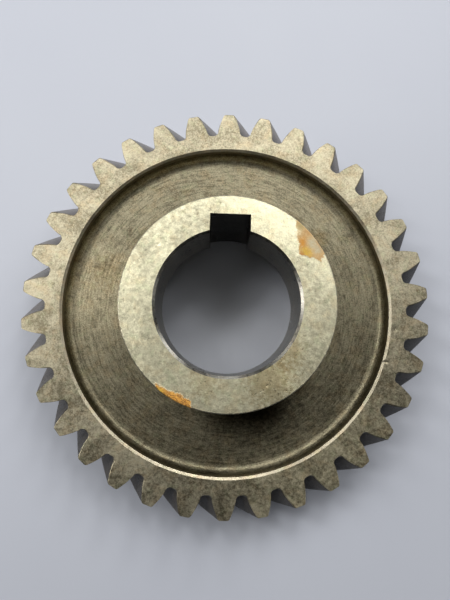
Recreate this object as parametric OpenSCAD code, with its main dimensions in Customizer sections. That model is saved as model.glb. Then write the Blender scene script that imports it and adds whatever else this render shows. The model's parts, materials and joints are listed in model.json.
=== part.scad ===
// Helical gear wheel with a raised hub, a recessed web and a keyed bore.
// Axis along Z. The gear's lower face is at z = 0 and the hub's ground face is up.
// The keyway points along +Y. Lengths are in millimetres.

/* [Teeth] */
// Number of teeth
teeth = 34; // [24:1:48]
// Module measured square to the tooth
normal_module = 2.25; // [1.5:0.25:4]
// Helix angle at the pitch circle, right-hand
helix_angle = 24; // [10:1:32]
// Pressure angle measured square to the tooth
pressure_angle = 20; // [17.5:0.5:25]
// Height of the tooth above the pitch circle, as a share of the module
addendum = 0.87; // [0.8:0.01:1]
// Depth of the tooth below the pitch circle, as a share of the module
dedendum = 1.3; // [1.2:0.01:1.4]
// Radius of the fillet at the tooth root, as a share of the module
root_rounding = 0.4; // [0.2:0.01:0.45]
// Face width of the toothed rim
face_width = 14; // [12:0.5:24]
// Turn of the tooth nearest the keyway, at the upper face
tooth_offset = 0.9; // [-5:0.1:5]

/* [Rim and web] */
// Radial thickness of the rim below the tooth roots
rim_thickness = 3.7; // [3:0.1:6]
// Width of the chamfer round the inner edge of the rim, on both faces
rim_chamfer_width = 0.5; // [0.3:0.1:1]
// Depth of that chamfer
rim_chamfer_depth = 0.3; // [0.2:0.1:1]
// Depth of the recess on the hub side, from the rim's upper face to the web
upper_recess = 3.4; // [3:0.1:5.5]
// Depth of the recess on the lower side
lower_recess = 3.4; // [3:0.1:5]
// Fillet where the web meets the rim and the hub
web_fillet = 1.8; // [0.5:0.1:2.6]

/* [Hub] */
// Outside diameter of the hub
hub_diameter = 42; // [41:0.5:48]
// Height of the hub's face above the rim's upper face
hub_rise = 11.9; // [6:0.1:20]
// Chamfer round the outer edge of the hub, on both ends
hub_chamfer = 0.2; // [0.1:0.1:1]

/* [Bore] */
// Diameter of the keyed bore
bore_diameter = 28; // [24:0.5:30]
// Length of the keyed bore, down from the hub's face
bore_length = 13.8; // [10:0.1:14]
// Chamfer at both ends of the keyed bore
bore_chamfer = 0.5; // [0.2:0.1:0.8]
// Diameter of the wider bore below the keyed one
counterbore_diameter = 36; // [34.5:0.5:37]
// Width of the keyway
key_width = 8; // [5:0.5:8]
// Depth of the keyway beyond the bore, on its centre line
key_depth = 3.3; // [2:0.1:3.3]

/* [Hidden] */

// Tooth form, in the plane across the axis
transverse_module = normal_module / cos(helix_angle);
transverse_pressure = atan(tan(pressure_angle) / cos(helix_angle));
pitch_radius = transverse_module * teeth / 2;
base_radius = pitch_radius * cos(transverse_pressure);
tip_radius = pitch_radius + normal_module * addendum;
root_radius = pitch_radius - normal_module * dedendum;
root_fillet = root_rounding * normal_module;
tooth_pitch = 360 / teeth;
twist_angle = face_width * tan(helix_angle) / pitch_radius * 180 / PI;
flank_steps = 5;
fillet_steps = 3;
twist_slices = 6;

// Heights and radii of the blank
recess_radius = root_radius - rim_thickness;
web_top = face_width - upper_recess;
web_bottom = lower_recess;
hub_radius = hub_diameter / 2;
hub_top = face_width + hub_rise;
bore_radius = bore_diameter / 2;
bore_bottom = hub_top - bore_length;
counterbore_radius = counterbore_diameter / 2;
overrun = 1;
round_fn = 96;

// Angle between the tooth's centre line and its flank at radius r, in degrees
function involute(a) = tan(a) * 180 / PI - a;
half_at_pitch = 90 / teeth;
function half_angle(r) = half_at_pitch + involute(transverse_pressure)
    - (r > base_radius ? involute(acos(base_radius / r)) : 0);

// Where the flank ends and the root fillet begins
flank_start = max(base_radius, root_radius + root_fillet);
half_at_start = half_angle(flank_start);
fillet_turn = root_fillet / root_radius * 180 / PI;

function at(r, a) = [r * cos(a), r * sin(a)];

// One flank from the root fillet out to the tip, on the side that the sign picks
function flank(side) = concat(
    [for (i = [0 : fillet_steps - 1])
        let (t = 90 * i / fillet_steps)
        at(flank_start - (flank_start - root_radius) * cos(t),
           side * (half_at_start + fillet_turn * (1 - sin(t))))],
    [for (i = [0 : flank_steps])
        let (r = flank_start + (tip_radius - flank_start) * i / flank_steps)
        at(r, side * half_angle(r))]);

function reversed(list) = [for (i = [len(list) - 1 : -1 : 0]) list[i]];

function turned(list, a) =
    [for (p = list) [p[0] * cos(a) - p[1] * sin(a), p[0] * sin(a) + p[1] * cos(a)]];

// One tooth from root to root, with a point in the middle of its tip and of the gap after it
tooth_points = concat(flank(-1), [at(tip_radius, 0)], reversed(flank(1)),
    [at(root_radius, tooth_pitch / 2)]);

outline = [for (k = [0 : teeth - 1])
    each turned(tooth_points, k * tooth_pitch)];

// Toothed disc, rising with a right-hand twist so that a tooth meets the keyway at the top
module toothed_disc() {
    rotate([0, 0, 90 + tooth_offset - twist_angle])
        linear_extrude(height = face_width, twist = -twist_angle, slices = twist_slices,
            convexity = 10)
            polygon(outline);
}

// Half section of the space inside the rim, with a chamfer at both faces
module rim_opening_section() {
    polygon([
        [0, -overrun],
        [recess_radius + rim_chamfer_width, -overrun],
        [recess_radius + rim_chamfer_width, 0],
        [recess_radius, rim_chamfer_depth],
        [recess_radius, face_width - rim_chamfer_depth],
        [recess_radius + rim_chamfer_width, face_width],
        [recess_radius + rim_chamfer_width, face_width + overrun],
        [0, face_width + overrun]
    ]);
}

module toothed_rim() {
    color("lightsteelblue")
        difference() {
            toothed_disc();
            rotate_extrude($fn = round_fn) rim_opening_section();
        }
}

// Square corner less a quarter circle: fills the angle between the web and a wall
module corner_fillet(wall, level, side, up) {
    translate([wall, level])
        difference() {
            translate([side < 0 ? -web_fillet : 0, up < 0 ? -web_fillet : 0])
                square(web_fillet);
            translate([side * web_fillet, up * web_fillet])
                circle(r = web_fillet, $fn = round_fn);
        }
}

module web_section() {
    translate([hub_radius, web_bottom])
        square([recess_radius - hub_radius, web_top - web_bottom]);
    corner_fillet(recess_radius, web_top, -1, 1);
    corner_fillet(recess_radius, web_bottom, -1, -1);
    corner_fillet(hub_radius, web_top, 1, 1);
    corner_fillet(hub_radius, web_bottom, 1, -1);
}

module web() {
    color("slategray")
        rotate_extrude($fn = round_fn) web_section();
}

// Half section of the hub: keyed bore above, wider counterbore below
module hub_section() {
    polygon([
        [hub_radius - hub_chamfer, 0],
        [hub_radius, hub_chamfer],
        [hub_radius, hub_top - hub_chamfer],
        [hub_radius - hub_chamfer, hub_top],
        [bore_radius + bore_chamfer, hub_top],
        [bore_radius, hub_top - bore_chamfer],
        [bore_radius, bore_bottom + bore_chamfer],
        [bore_radius + bore_chamfer, bore_bottom],
        [counterbore_radius, bore_bottom],
        [counterbore_radius, bore_chamfer],
        [counterbore_radius + bore_chamfer, 0]
    ]);
}

module hub() {
    color("gainsboro")
        difference() {
            rotate_extrude($fn = round_fn) hub_section();
            translate([-key_width / 2, 0, bore_bottom - overrun])
                cube([key_width, bore_radius + key_depth, bore_length + 2 * overrun]);
        }
}

hub();
web();
toothed_rim();
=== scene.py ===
"""Looks for a helical gear wheel in machined steel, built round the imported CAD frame."""

import json
import math

import bpy
import numpy as np
from mathutils import Matrix, Vector


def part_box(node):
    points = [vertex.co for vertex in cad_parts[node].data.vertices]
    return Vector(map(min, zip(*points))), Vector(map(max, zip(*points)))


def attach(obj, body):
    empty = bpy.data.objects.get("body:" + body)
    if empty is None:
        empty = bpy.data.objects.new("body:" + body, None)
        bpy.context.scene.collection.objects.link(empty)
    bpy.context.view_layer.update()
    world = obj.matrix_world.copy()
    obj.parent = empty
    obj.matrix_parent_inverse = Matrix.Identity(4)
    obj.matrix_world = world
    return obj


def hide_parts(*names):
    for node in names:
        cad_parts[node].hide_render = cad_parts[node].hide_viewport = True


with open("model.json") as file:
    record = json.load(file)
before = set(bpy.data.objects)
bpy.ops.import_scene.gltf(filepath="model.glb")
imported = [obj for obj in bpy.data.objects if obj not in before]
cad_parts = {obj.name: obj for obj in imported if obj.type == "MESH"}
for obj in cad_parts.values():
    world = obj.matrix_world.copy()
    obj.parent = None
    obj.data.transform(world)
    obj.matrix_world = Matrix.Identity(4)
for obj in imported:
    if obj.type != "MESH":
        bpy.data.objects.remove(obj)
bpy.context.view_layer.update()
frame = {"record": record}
mounts = {m["name"]: m for m in frame["record"]["mounts"]}
MM = 0.001

# ---------------------------------------------------------------- sizes, in metres
hub_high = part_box("hub")[1]
web_low, web_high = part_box("web")
rim_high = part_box("toothed_rim")[1]

HUB_R = hub_high.x
HUB_TOP = hub_high.z
FACE_WIDTH = rim_high.z
BORE_R = mounts["bore"]["dims"]["r_mm"] * MM
BORE_BOTTOM = 2 * mounts["bore"]["pos_m"][2] - HUB_TOP
BORE_CHAMFER = 0.5 * MM
COUNTERBORE_R = mounts["counterbore"]["dims"]["r_mm"] * MM
KEY_HALF = 4.0 * MM
KEY_TOP = 17.3 * MM
HUB_CHAMFER = 0.2 * MM
RECESS_R = web_high.x
WEB_FILLET = 1.8 * MM
WEB_TOP = web_high.z - WEB_FILLET
WEB_BOTTOM = web_low.z + WEB_FILLET
RIM_CHAMFER_WIDTH = 0.5 * MM
RIM_CHAMFER_DEPTH = 0.3 * MM

# ---------------------------------------------------------------- tooth form
TEETH = 34
MODULE = 2.25 * MM
HELIX = math.radians(24)
PRESSURE = math.radians(20)
ADDENDUM = 0.87
DEDENDUM = 1.3
TOOTH_OFFSET = math.radians(0.9)
TRANSVERSE_PRESSURE = math.atan(math.tan(PRESSURE) / math.cos(HELIX))
PITCH_R = MODULE / math.cos(HELIX) * TEETH / 2
BASE_R = PITCH_R * math.cos(TRANSVERSE_PRESSURE)
TIP_R = PITCH_R + MODULE * ADDENDUM
ROOT_R = PITCH_R - MODULE * DEDENDUM
ROOT_FILLET = 0.4 * MODULE
TWIST = FACE_WIDTH * math.tan(HELIX) / PITCH_R
TIP_ROUND = 0.34 * MM
EDGE_BREAK = 0.13 * MM

# Unevenness of the broken and turned edges, and the angle from which an edge stays crisp
EDGE_BREAK_SHARE = 0.35
RIM_EDGE_WAVE = 0.015 * MM
HUB_EDGE_WAVE = 0.03 * MM
CRISP_EDGE = math.radians(24)

# How finely the surfaces are divided
ROOT_STEPS = 8
FLANK_STEPS = 9
TOOTH_LAYERS = 25
RIM_WALL_STEPS = 12
WEB_AROUND = 720
WEB_ACROSS = 26
WEB_FILLET_STEPS = 10
BORE_AROUND = 900
KEY_SIDE_STEPS = 13
KEY_ROOF_STEPS = 38
HUB_FACE_STEPS = 30
HUB_SIDE_STEPS = 16
COUNTERBORE_STEPS = 10
BORE_STEPS = 14

rng = np.random.default_rng(41)


def wave(angles, cycles, size, draws=7):
    """Smooth periodic variation round the axis, between about -size and +size.
    cycles is the lowest and highest number of waves round the axis."""
    total = np.zeros_like(angles)
    for _ in range(draws):
        total += np.sin(angles * rng.integers(*cycles) + rng.uniform(0, 2 * math.pi))
    return total * size / math.sqrt(draws)


# ---------------------------------------------------------------- meshes
def circle(radius, z, angles):
    """One ring of points. The radius may vary round the axis."""
    z = np.broadcast_to(z, angles.shape)
    return np.stack([radius * np.cos(angles), radius * np.sin(angles), z], axis=1)


def closed_piece(name, bands, materials, dents=()):
    """A ring-shaped solid from rings of points that follow each other round its section.
    bands is [(ring, material index of the surface from this ring to the next)]."""
    rings = [ring for ring, _ in bands]
    count = len(rings[0])
    points = np.concatenate(rings)
    for knock in dents:
        points = knock(points)
    here = np.arange(count)
    after = np.roll(here, -1)
    faces, indices = [], []
    for k, (_, index) in enumerate(bands):
        low, high = k * count, (k + 1) % len(rings) * count
        faces.append(np.stack([low + here, low + after, high + after, high + here], axis=1))
        indices.append(np.full(count, index))
    faces = np.concatenate(faces)
    mesh = bpy.data.meshes.new(name)
    mesh.from_pydata(points.tolist(), [], faces.tolist())
    for material in materials:
        mesh.materials.append(material)
    mesh.polygons.foreach_set("material_index", np.concatenate(indices).astype(np.int32))
    mesh.polygons.foreach_set("use_smooth", np.ones(len(faces), bool))
    mesh.validate()
    mesh.update()
    mesh.set_sharp_from_angle(angle=CRISP_EDGE)
    piece = bpy.data.objects.new(name, mesh)
    bpy.context.scene.collection.objects.link(piece)
    return piece


def dent(radius, clockwise, z, size, depth, stretch=1.0, turn=0.0):
    """A shallow knock in an upper face. clockwise is its angle from the keyway, in degrees.
    stretch makes it longer, and turn is the long way's angle from the radius."""
    a = math.radians(90 - clockwise)
    centre = np.array([radius * math.cos(a), radius * math.sin(a), z])
    along = np.array([math.cos(a + turn), math.sin(a + turn), 0.0])
    push = np.array([0.0, 0.0, -1.0])

    def apply(points):
        away = points - centre
        length = away @ along
        across = np.sqrt(np.maximum((away**2).sum(1) - length**2, 0))
        d = np.sqrt((length / stretch) ** 2 + across**2) / size
        bowl = np.where(d < 1, (1 - d**2) ** 2, 0.0)
        return points + np.outer(bowl * depth, push)

    return apply


# ---- toothed rim
def involute(a):
    return math.tan(a) - a


def half_angle(r):
    """Half of the tooth's angle at radius r."""
    at_pitch = math.pi / 2 / TEETH
    flank = involute(math.acos(BASE_R / r)) if r > BASE_R else 0.0
    return at_pitch + involute(TRANSVERSE_PRESSURE) - flank


def tooth_outline():
    """(radius, angle) of the points round one tooth, from root to root."""
    start = max(BASE_R, ROOT_R + ROOT_FILLET)
    turn = ROOT_FILLET / ROOT_R
    side = []
    for t in np.linspace(0, math.pi / 2, ROOT_STEPS)[:-1]:
        side.append((start - (start - ROOT_R) * math.cos(t),
                     half_angle(start) + turn * (1 - math.sin(t))))
    for r in np.linspace(start, TIP_R - TIP_ROUND, FLANK_STEPS):
        side.append((r, half_angle(r)))
    # The tip's rounded corner, as a curve drawn towards the sharp one
    corner = (TIP_R, half_angle(TIP_R))
    ends = side[-1], (TIP_R, corner[1] - TIP_ROUND / TIP_R)
    for t in (0.35, 0.7, 1.0):
        side.append(tuple((1 - t) ** 2 * ends[0][i] + 2 * t * (1 - t) * corner[i]
                          + t * t * ends[1][i] for i in (0, 1)))
    tip_half = ends[1][1]
    gap_start = side[0][1]
    gap_middle = math.pi / TEETH
    points = [(r, -a) for r, a in side]
    points += [(TIP_R, tip_half * t) for t in (-0.5, 0.0, 0.5)]
    points += [(r, a) for r, a in reversed(side)]
    for t in (0.5, 1.0, 1.5):
        points.append((ROOT_R, gap_start + (gap_middle - gap_start) * t))
    return np.array(points)


def rim_bands(faces, flanks, inner):
    """The rim's rings: upper face, teeth, lower face, and the wall towards the web."""
    tooth = tooth_outline()
    step = 2 * math.pi / TEETH
    radius = np.tile(tooth[:, 0], TEETH)
    angle = (tooth[:, 1][None, :] + step * np.arange(TEETH)[:, None]).ravel()
    flat = np.stack([radius * np.cos(angle), radius * np.sin(angle)], axis=1)
    tangent = np.roll(flat, -1, 0) - np.roll(flat, 1, 0)
    normal = np.stack([tangent[:, 1], -tangent[:, 0]], axis=1)
    normal /= np.linalg.norm(normal, axis=1)[:, None]
    uneven = np.clip(wave(angle, (20, 160), EDGE_BREAK_SHARE, 12), -0.6, 0.9)
    wear = EDGE_BREAK * (1 + uneven)
    broken = flat - normal * wear[:, None]
    broken_r = np.hypot(*broken.T)
    broken_a = np.unwrap(np.arctan2(broken[:, 1], broken[:, 0]), period=2 * math.pi)

    def turned(z):
        return math.pi / 2 + TOOTH_OFFSET - TWIST * (1 - z / FACE_WIDTH)

    def face(z, shares):
        """Rings across an end face, by their share of the way from the inner chamfer out
        to the broken tooth edge."""
        edge = RECESS_R + RIM_CHAMFER_WIDTH + wave(angle, (3, 90), RIM_EDGE_WAVE)
        return [circle(edge + (broken_r - edge) * t, z, broken_a + turned(z))
                for t in shares]

    shares = list(np.linspace(0, 0.45, 9)) + [0.56, 0.68, 0.8, 0.9, 1.0]
    bands = [(ring, faces) for ring in face(FACE_WIDTH, shares)]
    layers = np.linspace(FACE_WIDTH - EDGE_BREAK, EDGE_BREAK, TOOTH_LAYERS)
    bands += [(circle(radius, z, angle + turned(z)), flanks) for z in layers]
    lower = face(0.0, shares[::-1])
    bands += [(ring, faces) for ring in lower[:-1]] + [(lower[-1], inner)]
    wall = np.linspace(RIM_CHAMFER_DEPTH, FACE_WIDTH - RIM_CHAMFER_DEPTH, RIM_WALL_STEPS)
    bands += [(circle(RECESS_R, z, angle + turned(z)), inner) for z in wall]
    return bands


# ---- web
def web_bands(surface):
    """The web's rings: upper side, the hidden outer end, lower side, the hidden inner end."""
    angles = np.linspace(0, 2 * math.pi, WEB_AROUND, endpoint=False)
    arc = np.linspace(0, math.pi / 2, WEB_FILLET_STEPS)
    section = []
    for a in arc:
        section.append((HUB_R + WEB_FILLET * (1 - math.cos(a)),
                        WEB_TOP + WEB_FILLET * (1 - math.sin(a))))
    section += [(r, WEB_TOP) for r in
                np.linspace(HUB_R + WEB_FILLET, RECESS_R - WEB_FILLET, WEB_ACROSS)[1:-1]]
    for a in arc[::-1]:
        section.append((RECESS_R - WEB_FILLET * (1 - math.cos(a)),
                        WEB_TOP + WEB_FILLET * (1 - math.sin(a))))
    lower = [(r, WEB_TOP + WEB_BOTTOM - z) for r, z in reversed(section)]
    return [(circle(r, z, angles), surface) for r, z in section + lower]


# ---- hub
def hub_outline(bore):
    """Points round the bore and its keyway, with the same number on every part."""
    corner = math.asin(KEY_HALF / bore)
    arc = np.linspace(corner, 2 * math.pi - corner, BORE_AROUND)
    x, y = bore * np.sin(arc), bore * np.cos(arc)
    wall = np.linspace(0, 1, KEY_SIDE_STEPS + 1)[1:]
    depth = KEY_TOP - y[0]
    left = np.stack([np.full_like(wall, -KEY_HALF), y[-1] + depth * wall], axis=1)
    top = np.linspace(-KEY_HALF, KEY_HALF, KEY_ROOF_STEPS + 2)[1:-1]
    roof = np.stack([top, np.full_like(top, KEY_TOP)], axis=1)
    right = np.stack([np.full_like(wall, KEY_HALF), y[0] + depth * wall[::-1]], axis=1)
    return np.concatenate([np.stack([x, y], axis=1), left, roof, right])


def hub_bands(face, side, bore):
    """The hub's rings: ground face, outer side, lower face, wide bore, keyed bore."""
    plain = hub_outline(BORE_R)
    wide = hub_outline(BORE_R + BORE_CHAMFER)
    angles = np.unwrap(np.arctan2(wide[:, 1], wide[:, 0]), period=2 * math.pi)

    def at(flat, z):
        return np.column_stack([flat, np.full(len(flat), z)])

    chamfer = HUB_CHAMFER + wave(angles, (3, 120), HUB_EDGE_WAVE)
    outer_r = HUB_R - chamfer
    inner_r = np.hypot(*wide.T)
    bands = [(circle(inner_r + (outer_r - inner_r) * t, HUB_TOP, angles), face)
             for t in np.linspace(0, 1, HUB_FACE_STEPS)]
    bands[-1] = (bands[-1][0], side)
    # A step inside the upper chamfer rounds it towards the side
    bands.append((circle(HUB_R - chamfer * 0.12, HUB_TOP - chamfer * 0.75, angles), side))
    for z in np.linspace(HUB_TOP - HUB_CHAMFER * 1.3, HUB_CHAMFER, HUB_SIDE_STEPS):
        bands.append((circle(HUB_R, z, angles), side))
    bands.append((circle(HUB_R - HUB_CHAMFER, 0.0, angles), face))
    bands.append((circle(COUNTERBORE_R + BORE_CHAMFER, 0.0, angles), bore))
    for z in np.linspace(BORE_CHAMFER, BORE_BOTTOM, COUNTERBORE_STEPS):
        bands.append((circle(COUNTERBORE_R, z, angles), bore))
    bands.append((at(wide, BORE_BOTTOM), bore))
    for z in np.linspace(BORE_BOTTOM + BORE_CHAMFER, HUB_TOP - BORE_CHAMFER, BORE_STEPS):
        bands.append((at(plain, z), bore))
    return bands


# ---------------------------------------------------------------- materials
class Surface:
    """One procedural material. Its methods add a node and give back its output. The node
    tree works in millimetres, so a noise's scale is its number of waves in one."""

    def __init__(self, name):
        self.material = bpy.data.materials.new(name)
        self.material.use_nodes = True
        self.tree = self.material.node_tree
        self.shader = self.tree.nodes["Principled BSDF"]
        place = self.node("ShaderNodeTexCoord").outputs["Object"]
        scaled = self.node("ShaderNodeVectorMath", operation="SCALE")
        self.put(scaled.inputs[0], place)
        self.put(scaled.inputs["Scale"], 1 / MM)
        self.mm = scaled.outputs[0]
        split = self.node("ShaderNodeSeparateXYZ")
        self.tree.links.new(self.mm, split.inputs[0])
        self.x, self.y, self.z = split.outputs
        square = self.math("ADD", self.math("MULTIPLY", self.x, self.x),
                           self.math("MULTIPLY", self.y, self.y))
        self.r = self.math("SQRT", square)
        self.cos = self.math("DIVIDE", self.x, self.r)
        self.sin = self.math("DIVIDE", self.y, self.r)

    def node(self, kind, **settings):
        """A new node with these settings."""
        made = self.tree.nodes.new(kind)
        for key, value in settings.items():
            setattr(made, key, value)
        return made

    def put(self, socket, value):
        """Links another node's output to a socket, or sets a plain number or colour."""
        if isinstance(value, bpy.types.NodeSocket):
            self.tree.links.new(value, socket)
        elif isinstance(value, tuple) and len(value) == 3 and socket.type == "RGBA":
            socket.default_value = (*value, 1.0)
        else:
            socket.default_value = value

    def math(self, operation, a, b=0.0, c=0.0, clamp=False):
        made = self.node("ShaderNodeMath", operation=operation, use_clamp=clamp)
        for socket, value in zip(made.inputs, (a, b, c)):
            self.put(socket, value)
        return made.outputs[0]

    def dot(self, a, b):
        made = self.node("ShaderNodeVectorMath", operation="DOT_PRODUCT")
        self.put(made.inputs[0], a)
        self.put(made.inputs[1], b)
        return made.outputs["Value"]

    def noise(self, vector, scale, detail=3.0, roughness=0.55, distortion=0.0):
        made = self.node("ShaderNodeTexNoise")
        for key, value in (("Vector", vector), ("Scale", scale), ("Detail", detail),
                           ("Roughness", roughness), ("Distortion", distortion)):
            self.put(made.inputs[key], value)
        return made.outputs["Fac"]

    def spread(self, value, low, high, to_low=0.0, to_high=1.0):
        """Eases from to_low, where value is low, to to_high, where it is high."""
        made = self.node("ShaderNodeMapRange", interpolation_type="SMOOTHSTEP")
        for socket, number in zip(made.inputs, (value, low, high, to_low, to_high)):
            self.put(socket, number)
        return made.outputs[0]

    def mix(self, share, a, b, blend="MIX"):
        """Colour a with this share of colour b laid over it."""
        made = self.node("ShaderNodeMix", data_type="RGBA", blend_type=blend)
        self.put(made.inputs[0], share)
        colours = [s for s in made.inputs if s.type == "RGBA"]
        self.put(colours[0], a)
        self.put(colours[1], b)
        return [s for s in made.outputs if s.type == "RGBA"][0]

    def near(self, x, y, full, none, wobble):
        """1 within full of the upright line through (x, y), easing to 0 at none, in mm.
        wobble makes the edge ragged."""
        made = self.node("ShaderNodeVectorMath", operation="LENGTH")
        across = self.node("ShaderNodeCombineXYZ")
        self.put(across.inputs[0], self.math("SUBTRACT", self.x, x))
        self.put(across.inputs[1], self.math("SUBTRACT", self.y, y))
        self.put(made.inputs[0], across.outputs[0])
        return self.spread(self.math("ADD", made.outputs["Value"], wobble), none, full)

    def turning(self, pitch, sweep):
        """Place in the marks that a lathe tool leaves: fine across them, long round them."""
        across = self.math("MULTIPLY", self.math("ADD", self.r, self.z), 1 / pitch)
        made = self.node("ShaderNodeCombineXYZ")
        self.put(made.inputs[0], across)
        self.put(made.inputs[1], self.math("MULTIPLY", self.cos, sweep))
        self.put(made.inputs[2], self.math("MULTIPLY", self.sin, sweep))
        return made.outputs[0]

    def bump(self, height, distance, normal=None):
        """Relief of this height, in metres, over another relief."""
        made = self.node("ShaderNodeBump")
        self.put(made.inputs["Distance"], distance)
        self.put(made.inputs["Height"], height)
        if normal is not None:
            self.put(made.inputs["Normal"], normal)
        return made.outputs[0]

    def finish(self, colour, roughness, metallic, normal):
        """Puts the results into the shader."""
        self.put(self.shader.inputs["Base Color"], colour)
        self.put(self.shader.inputs["Roughness"], roughness)
        self.put(self.shader.inputs["Metallic"], metallic)
        self.put(self.shader.inputs["Normal"], normal)
        return self.material


RUST_BROWN = (0.22, 0.09, 0.015)
RUST_ORANGE = (0.60, 0.27, 0.035)
RUST_GOLD = (0.76, 0.40, 0.075)
RUST_YELLOW = (0.66, 0.42, 0.05)
RUST_TAN = (0.63, 0.44, 0.21)
RUST_PALE = (0.88, 0.77, 0.48)
RUST_CENTRE = (0.55, 0.49, 0.32)
RUST_DULL = (0.56, 0.36, 0.15)
RUST_OLIVE = (0.45, 0.36, 0.16)
RUST_COPPER = (0.55, 0.33, 0.13)
RUST_RED = (0.50, 0.21, 0.05)
RUST_DARK = (0.42, 0.20, 0.06)
RUST_CURL = (0.42, 0.24, 0.08)
RUST_EDGE = (0.46, 0.235, 0.06)
# Dark oil for specks and dirt, also the colour of the painted shade on the tooth flanks
OIL_AND_PAINTED_SHADE = (0.035, 0.028, 0.018)
WARM_TINT = (1.0, 0.80, 0.62)
COOL_TINT = (0.84, 1.0, 0.86)

# Sides of each rust patch on the hub: (direction x, direction y, distance from the axis in mm)
RUST_BESIDE_KEYWAY = [(0.989, 0.149, 14.89), (0.248, 0.969, 12.72), (-0.765, 0.644, -7.89)]
RUST_OPPOSITE = [(-0.397, -0.918, 19.6), (1.0, 0.0, -13.1), (-1.0, 0.0, 6.25)]

# Colour zones of the patch beside the keyway: (x, y, full within, none beyond, colour), in mm
RUST_ZONES = [(12.8, 14.3, 0.2, 1.5, RUST_PALE), (13.7, 15.3, 0.0, 1.3, RUST_OLIVE),
              (15.2, 14.1, 0.0, 1.3, RUST_COPPER), (14.8, 10.1, 0.2, 2.0, RUST_YELLOW),
              (14.1, 12.1, 0.0, 1.6, RUST_ORANGE), (13.7, 9.7, 0.0, 1.1, RUST_RED),
              (16.0, 12.1, 0.2, 1.7, RUST_CENTRE), (16.9, 10.9, 0.1, 1.5, RUST_CENTRE),
              (17.8, 12.3, 0.0, 1.5, RUST_DARK)]
# A yellower spot in the opposite patch
RUST_SPOT = (-12.3, -17.3, 0.0, 1.3)
RUST_RELIEF = 4e-5


def patch_depth(s, sides, wobble):
    """How far inside a patch a point lies, in mm; below 0 outside."""
    inside = None
    for x, y, offset in sides:
        d = s.math("SUBTRACT", s.dot(s.mm, (x, y, 0.0)), offset)
        inside = d if inside is None else s.math("MINIMUM", inside, d)
    return s.math("ADD", inside, wobble)


def rusted(s, colour, gloss, metal, normal, lowest):
    """Lays the two rust patches over a surface, down to the height lowest, in mm. They are
    rough, stand a little proud, and have next to no metal shine."""
    ragged = s.math("MULTIPLY", s.math("SUBTRACT", s.noise(s.mm, 0.9, 5, 0.7), 0.5), 2.0)
    grains = s.noise(s.mm, 2.0, 5, 0.7, 0.5)
    flecks = s.spread(grains, 0.36, 0.62)
    curls = s.noise(s.mm, 0.8, 3, 0.6, 2.0)
    first = patch_depth(s, RUST_BESIDE_KEYWAY, ragged)
    second = patch_depth(s, RUST_OPPOSITE, ragged)
    above = s.math("SUBTRACT", s.z, s.math("MULTIPLY_ADD", ragged, 1.2, lowest))
    depth = s.math("MINIMUM", s.math("MAXIMUM", first, second), above)
    cover = s.spread(depth, -0.2, 0.25)

    # Both patches: orange and gold flecks with dark curls
    crust = s.mix(flecks, RUST_ORANGE, RUST_GOLD)
    rings = s.spread(s.math("ABSOLUTE", s.math("SUBTRACT", curls, 0.5)), 0.01, 0.10, 0.9, 0.0)
    rings = s.math("MULTIPLY", rings, s.spread(grains, 0.36, 0.5, 0.3, 1.0))
    crust = s.mix(rings, crust, RUST_BROWN)
    crust = s.mix(s.near(*RUST_SPOT, ragged), crust, RUST_YELLOW)
    # The patch beside the keyway is paler, with zones of its own and a darker lower edge
    pale = s.mix(flecks, RUST_DULL, RUST_TAN)
    wobble = s.math("MULTIPLY", s.math("SUBTRACT", grains, 0.5), 2.2)
    for x, y, full, none, zone in RUST_ZONES:
        pale = s.mix(s.near(x, y, full, none, wobble), pale, zone)
    pale = s.mix(s.math("MULTIPLY", rings, 0.4), pale, RUST_CURL)
    edge = s.math("MULTIPLY", s.spread(first, 0.45, 0.05), s.spread(s.y, 13.0, 10.5, 0.0, 0.6))
    pale = s.mix(edge, pale, RUST_EDGE)
    crust = s.mix(s.spread(s.y, -1.0, 1.0), crust, pale)

    colour = s.mix(cover, colour, crust)
    gloss = s.math("MULTIPLY_ADD", cover, 0.35, gloss, clamp=True)
    metal = s.math("SUBTRACT", metal, s.math("MULTIPLY", cover, 0.85), clamp=True)
    normal = s.bump(s.math("MULTIPLY", cover, grains), RUST_RELIEF, normal)
    return colour, gloss, metal, normal


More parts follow.
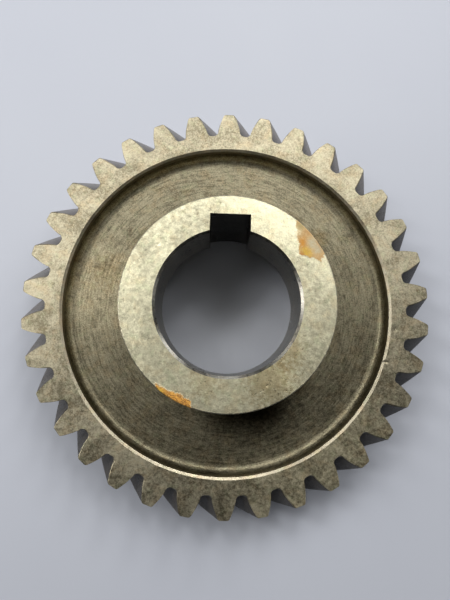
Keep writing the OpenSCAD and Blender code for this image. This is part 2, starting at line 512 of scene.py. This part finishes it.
def steel(name, light, dark, rough=0.42, lines=0.5, pitch=0.45, sweep=4.0, mottle=0.5,
          cloud=0.5, grain=0.5, tint=0.4, speck=0.4, relief=1.5e-5, line_relief=5e-6,
          stains_and_painted_light=(), grime=0.0, painted_shade_side=None, rust_down_to=None):
    """Machined steel: turning marks, mottling, warm and cool tints, dark specks, stains, and
    painted light and shade. light and dark are the ends of its colour. The list of stains
    holds [(x, y, radius, strength, colour that it multiplies by)] in mm; BROWN_STAIN entries
    are real stains, and the others paint shade (below 1) or light (above 1) onto fixed places.
    A BROWN_STAIN is ragged, with more specks inside. grime is the strength of its patches of
    dirt. The shaded side's direction, from the axis, picks the side whose colour is painted
    dark as shade, with less metal shine; the roots are painted darker as shade all round.
    rust_down_to is the height that the rust reaches down to."""
    s = Surface(name)
    marks = s.noise(s.turning(pitch, sweep), 1.0, 4, 0.65)
    blotch = s.noise(s.mm, 1.3, 3, 0.6)
    clouds = s.noise(s.mm, 0.17, 4, 0.6, 0.6)
    grains = s.noise(s.mm, 3.4, 2, 0.6)
    tone = 0.5
    for value, strength in ((marks, lines), (blotch, mottle), (clouds, cloud),
                            (grains, grain)):
        tone = s.math("MULTIPLY_ADD", s.math("SUBTRACT", value, 0.5), strength * 2.4, tone)
    colour = s.mix(s.math("ADD", tone, 0.0, clamp=True), dark, light)
    warm = s.spread(s.noise(s.mm, 0.42, 4, 0.65, 0.3), 0.46, 0.66)
    colour = s.mix(s.math("MULTIPLY", warm, tint), colour, WARM_TINT, "MULTIPLY")
    cool = s.spread(s.noise(s.mm, 0.63, 3, 0.6, 0.3), 0.5, 0.68)
    colour = s.mix(s.math("MULTIPLY", cool, tint), colour, COOL_TINT, "MULTIPLY")
    gloss = s.math("MULTIPLY_ADD", s.math("SUBTRACT", clouds, 0.5), 0.2, rough)
    gloss = s.math("MULTIPLY_ADD", s.math("SUBTRACT", blotch, 0.5), 0.3, gloss)

    specks = speck
    # Each entry multiplies the colour round a point: BROWN_STAIN entries are real stains, the
    # rest are painted shade where below 1 and painted light where above 1
    for x, y, radius, strength, stain_and_light_colour in stains_and_painted_light:
        ragged = radius * (1.6 if stain_and_light_colour is BROWN_STAIN else 0.3)
        inside = s.near(x, y, radius * 0.2, radius,
                        s.math("MULTIPLY", s.math("SUBTRACT", blotch, 0.5), ragged))
        inside = s.math("MULTIPLY", inside, strength)
        colour = s.mix(inside, colour, stain_and_light_colour, "MULTIPLY")
        if stain_and_light_colour is BROWN_STAIN:
            specks = s.math("MULTIPLY_ADD", inside, 1.1, specks)
    dots = s.spread(s.noise(s.mm, 2.3, 2, 0.55), 0.60, 0.72)
    dots = s.math("MULTIPLY", dots, specks, clamp=True)
    colour = s.mix(dots, colour, s.mix(0.25, OIL_AND_PAINTED_SHADE, dark))
    if grime:
        dirt = s.spread(s.noise(s.mm, 0.5, 5, 0.7, 0.4), 0.54, 0.70)
        dirt = s.math("MULTIPLY", dirt, s.math("MULTIPLY_ADD", grains, 0.8, grime - 0.4))
        colour = s.mix(s.math("ADD", dirt, 0.0, clamp=True), colour, OIL_AND_PAINTED_SHADE)
    gloss = s.math("MULTIPLY_ADD", dots, 0.15, gloss)
    metal = 1.0
    if painted_shade_side:
        # Painted shade: flanks facing the given side are painted dark, with less metal shine
        # and a weak specular
        towards = s.math("DIVIDE", s.dot(s.mm, (*painted_shade_side, 0.0)), s.r)
        painted_shade = s.spread(s.math("MULTIPLY_ADD", blotch, 0.3, towards), -0.55, 0.35)
        # Painted shade: the roots are darker all round
        painted_root_shade = s.spread(s.r, TIP_R / MM - 0.6, ROOT_R / MM + 0.4, 0.0, 0.6)
        painted_shade = s.math("MAXIMUM", painted_shade, painted_root_shade)
        colour = s.mix(painted_shade, colour, OIL_AND_PAINTED_SHADE)
        metal = s.math("MULTIPLY_ADD", painted_shade, -0.8, 1.0)
        s.put(s.shader.inputs["Specular IOR Level"], 0.1)

    normal = s.bump(marks, line_relief)
    height = s.math("MULTIPLY_ADD", grains, 0.6, blotch)
    normal = s.bump(s.math("SUBTRACT", height, s.math("MULTIPLY", dots, 0.8)), relief, normal)
    if rust_down_to is not None:
        colour, gloss, metal, normal = rusted(s, colour, gloss, metal, normal, rust_down_to)
    return s.finish(colour, gloss, metal, normal)


# ---------------------------------------------------------------- the gear
# Stains multiply the steel's colour: below 1 they darken it, above 1 they brighten it.
# BROWN_STAIN is a real stain; the other darkening colours here are painted shade and painted
# shadow, and the brightening ones are painted light and painted highlight, all at fixed
# places.
# The last is the side on which the tooth flanks are painted dark, as shade.
BROWN_STAIN = (0.80, 0.68, 0.50)
KEYWAY_PAINTED_SHADE = (0.1, 0.095, 0.085)
HUB_FOOT_PAINTED_SHADOW = (0.08, 0.075, 0.065)
THIN_PAINTED_SHADOW = (0.4, 0.38, 0.35)
THINNER_PAINTED_SHADOW = (0.5, 0.48, 0.44)
PAINTED_WALL_SHADE = (0.62, 0.62, 0.61)
PAINTED_BORE_LIGHT = (1.5, 1.48, 1.46)
PAINTED_WEB_LIGHT = (1.35, 1.33, 1.30)
PAINTED_FACE_LIGHT = (1.35, 1.35, 1.3)
PAINTED_CHAMFER_HIGHLIGHT = (1.4, 1.38, 1.35)
PAINTED_SHADE_SIDE = (0.45, -0.89)

hub_face = steel("hub_ground_face", (0.97, 0.92, 0.65), (0.53, 0.49, 0.33), rough=0.36,
                 lines=0.14, mottle=0.24, cloud=0.1, grain=0.5, tint=0.25, speck=0.25,
                 stains_and_painted_light=[(8.2, -14.3, 7.0, 0.6, BROWN_STAIN),
                         (-4.0, -15.0, 4.0, 0.4, BROWN_STAIN),
                         (11.5, -9.0, 5.0, 0.5, BROWN_STAIN)],
                 rust_down_to=HUB_TOP / MM - 1)
hub_side = steel("hub_turned_side", (0.55, 0.51, 0.37), (0.32, 0.29, 0.21), rough=0.4,
                 lines=0.6, rust_down_to=HUB_TOP / MM - 2.2)
hub_bore = steel("hub_bore_wall", (0.40, 0.385, 0.34), (0.165, 0.16, 0.142), rough=0.33,
                 lines=0.5, pitch=0.3, tint=0.3,
                 # Painted shade: the bore wall round the keyway is darkened almost to black
                 stains_and_painted_light=[(0.0, 16.5, 9.0, 1.0, KEYWAY_PAINTED_SHADE),
                         # Painted light: the bore wall is brightened towards +x
                         (14.0, -2.5, 12.0, 1.0, PAINTED_BORE_LIGHT)])
web_steel = steel("web_turned", (0.285, 0.255, 0.17), (0.10, 0.088, 0.057), rough=0.46,
                  lines=0.9, pitch=0.36, sweep=9.0, mottle=0.5, cloud=0.4, grain=0.85,
                  tint=0.3, speck=0.25, relief=2.2e-5, line_relief=1.2e-5, grime=0.5,
                  stains_and_painted_light=[(20.3, 16.9, 3.0, 0.6, BROWN_STAIN),
                          (-27.0, 8.0, 5.0, 0.4, BROWN_STAIN),
                          # Painted light: the web is brightened towards -x
                          (-27.0, 4.0, 16.0, 1.0, PAINTED_WEB_LIGHT),
                          # Painted shadow of the hub on the web, darkest at its foot on the
                          # side away from the keyway
                          (6.0, -20.0, 13.0, 1.0, HUB_FOOT_PAINTED_SHADOW),
                          (0.0, -21.5, 7.0, 1.0, THIN_PAINTED_SHADOW),
                          (9.0, -20.0, 7.0, 1.0, THIN_PAINTED_SHADOW),
                          (15.5, -15.0, 6.0, 1.0, THINNER_PAINTED_SHADOW)])
rim_face = steel("rim_face", (0.455, 0.41, 0.29), (0.175, 0.153, 0.10), rough=0.46,
                 lines=0.16, mottle=0.55, cloud=1.0, grain=0.8, tint=0.3, speck=0.3,
                 # Painted light: the rim face is brightened towards +x and -y
                 relief=2.2e-5, stains_and_painted_light=[(20.0, -33.0, 27.0, 1.0, PAINTED_FACE_LIGHT)])
rim_flank = steel("tooth_flanks", (0.34, 0.30, 0.26), (0.13, 0.11, 0.09), rough=0.32,
                  # Painted shade on the flanks towards one side, and darker roots all round
                  lines=0.5, pitch=0.35, grime=0.3, painted_shade_side=PAINTED_SHADE_SIDE)
rim_wall = steel("rim_inner_wall", (0.42, 0.377, 0.283), (0.24, 0.214, 0.157), rough=0.40,
                 # Painted shade: the inner wall is darkened towards +x
                 lines=0.6, stains_and_painted_light=[(30.1, -10.9, 20.0, 1.0, PAINTED_WALL_SHADE),
                                    # Painted highlight: the inner wall and its chamfer are
                                    # brightened towards -y
                                    (0.0, -32.0, 16.0, 1.0, PAINTED_CHAMFER_HIGHLIGHT)])

# Knocks: radius, angle, height, size, depth, and for some their stretch and turn
HUB_DENTS = [dent(17.54 * MM, -52, HUB_TOP, 0.36 * MM, 0.05 * MM, 1.8, 0.9),
             dent(17.34 * MM, 153.7, HUB_TOP, 0.28 * MM, 0.07 * MM),
             dent(17.02 * MM, 150.3, HUB_TOP, 0.24 * MM, 0.06 * MM)]
RIM_DENTS = [dent(36.6 * MM, 95.4, FACE_WIDTH, 0.5 * MM, 0.16 * MM, 2.2, 1.2),
             dent(35.9 * MM, 107, FACE_WIDTH, 0.4 * MM, 0.2 * MM, 1.3, 0.4)]

hub = closed_piece("hub_keyed", hub_bands(0, 1, 2), [hub_face, hub_side, hub_bore], HUB_DENTS)
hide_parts("hub")

web = closed_piece("web_recessed", web_bands(0), [web_steel])
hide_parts("web")

rim = closed_piece("rim_helical_teeth", rim_bands(0, 1, 2), [rim_face, rim_flank, rim_wall],
                   RIM_DENTS)
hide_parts("toothed_rim")

for piece in (hub, web, rim):
    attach(piece, "root")

# ---------------------------------------------------------------- stage, camera, light
FLOOR_HALF = 8 * rim_high.x
FLOOR_DROP = 0.02 * MM
FLOOR_DARK = (0.49, 0.51, 0.57)
FLOOR_LIGHT = (0.53, 0.55, 0.60)
FLOOR_ROUGHNESS = 0.6
FLOOR_RELIEF = 1e-5
floor_mesh = bpy.data.meshes.new("floor")
floor_mesh.from_pydata([(-FLOOR_HALF, -FLOOR_HALF, 0), (FLOOR_HALF, -FLOOR_HALF, 0),
                        (FLOOR_HALF, FLOOR_HALF, 0), (-FLOOR_HALF, FLOOR_HALF, 0)],
                       [], [(0, 1, 2, 3)])
floor = bpy.data.objects.new("floor", floor_mesh)
floor.location.z = -FLOOR_DROP
bpy.context.scene.collection.objects.link(floor)
pale = Surface("pale_floor")
floor_mesh.materials.append(pale.finish(
    pale.mix(pale.noise(pale.mm, 0.02, 2), FLOOR_DARK, FLOOR_LIGHT), FLOOR_ROUGHNESS, 0.0,
    pale.bump(pale.noise(pale.mm, 0.8, 3), FLOOR_RELIEF)))

# Camera: its place from the centre of the hub's face, and the ways it looks and holds up
CAMERA_FROM_HUB = Vector((-2.26, -10.01, 89.925)) * MM
LOOK = Vector((0.01806, 0.11465, -0.99324))
RIGHT = Vector((0.99935, 0.02894, 0.02151))
FOCAL = 28.541
SENSOR = 36
CLIP = (0.002, 20)
camera_data = bpy.data.cameras.new("camera")
camera = bpy.data.objects.new("camera", camera_data)
bpy.context.scene.collection.objects.link(camera)
look = LOOK.normalized()
right = (RIGHT - look * RIGHT.dot(look)).normalized()
up = right.cross(look)
camera.matrix_world = (Matrix.Translation(Vector((0, 0, HUB_TOP)) + CAMERA_FROM_HUB)
                       @ Matrix((right, up, -look)).transposed().to_4x4())
camera_data.lens = FOCAL
camera_data.sensor_width = SENSOR
camera_data.clip_start, camera_data.clip_end = CLIP
bpy.context.scene.camera = camera


def softbox(name, azimuth, elevation, width, power):
    """A round lamp facing the gear. Azimuth is clockwise from the keyway, in degrees."""
    a, e = math.radians(azimuth), math.radians(elevation)
    way = Vector((math.sin(a) * math.cos(e), math.cos(a) * math.cos(e), math.sin(e)))
    data = bpy.data.lights.new(name, "AREA")
    data.shape = "DISK"
    data.size = width
    data.energy = power
    lamp = bpy.data.objects.new(name, data)
    lamp.location = way * LAMP_DISTANCE
    lamp.rotation_mode = "QUATERNION"
    lamp.rotation_quaternion = way.to_track_quat("Z", "Y")
    bpy.context.scene.collection.objects.link(lamp)


# Lamps in an arc over the keyway side, and low ones beside the gear and on the keyway side:
# (azimuth, elevation, width in m, power in W)
LAMP_DISTANCE = 0.6
LAMPS = [(0, 90, 0.2, 0.058), (60, 74, 0.2, 0.02), (-75, 62, 0.1, 0.2),
         (25, 62, 0.1, 0.12), (50, 62, 0.1, 0.051), (75, 62, 0.1, 0.022),
         (-75, 54, 0.1, 0.35), (-50, 54, 0.1, 0.38), (-25, 54, 0.1, 0.34),
         (0, 54, 0.1, 0.36), (25, 54, 0.1, 0.43), (50, 54, 0.1, 0.18),
         (-75, 48, 0.1, 0.23), (-50, 48, 0.1, 0.11), (0, 48, 0.1, 0.045),
         (25, 48, 0.1, 0.11), (50, 48, 0.1, 0.039), (75, 48, 0.1, 0.066),
         (-75, 40, 0.14, 0.27), (-45, 40, 0.14, 0.16), (20, 40, 0.14, 0.46),
         (45, 40, 0.14, 0.15), (40, 26, 0.2, 0.014), (-90, 10, 0.2, 0.64),
         (-45, 10, 0.2, 0.2), (0, 10, 0.2, 0.3), (45, 10, 0.2, 0.6), (90, 10, 0.2, 0.11)]
for number, lamp_row in enumerate(LAMPS):
    softbox(f"lamp_{number}", *lamp_row)

# The backdrop looks pale, and lights the gear only weakly
BACKDROP_COLOUR = (0.9, 0.93, 1.0, 1.0)
BACKDROP_LIGHT = 0.03
BACKDROP_SEEN = 0.5
world = bpy.data.worlds.new("studio")
world.use_nodes = True
nodes, links = world.node_tree.nodes, world.node_tree.links
backdrop = nodes["Background"]
backdrop.inputs["Color"].default_value = BACKDROP_COLOUR
seen = nodes.new("ShaderNodeLightPath")
strength = nodes.new("ShaderNodeMapRange")
strength.inputs["To Min"].default_value = BACKDROP_LIGHT
strength.inputs["To Max"].default_value = BACKDROP_SEEN
links.new(seen.outputs["Is Camera Ray"], strength.inputs["Value"])
links.new(strength.outputs["Result"], backdrop.inputs["Strength"])
bpy.context.scene.world = world
bpy.context.scene.view_settings.view_transform = "Standard"
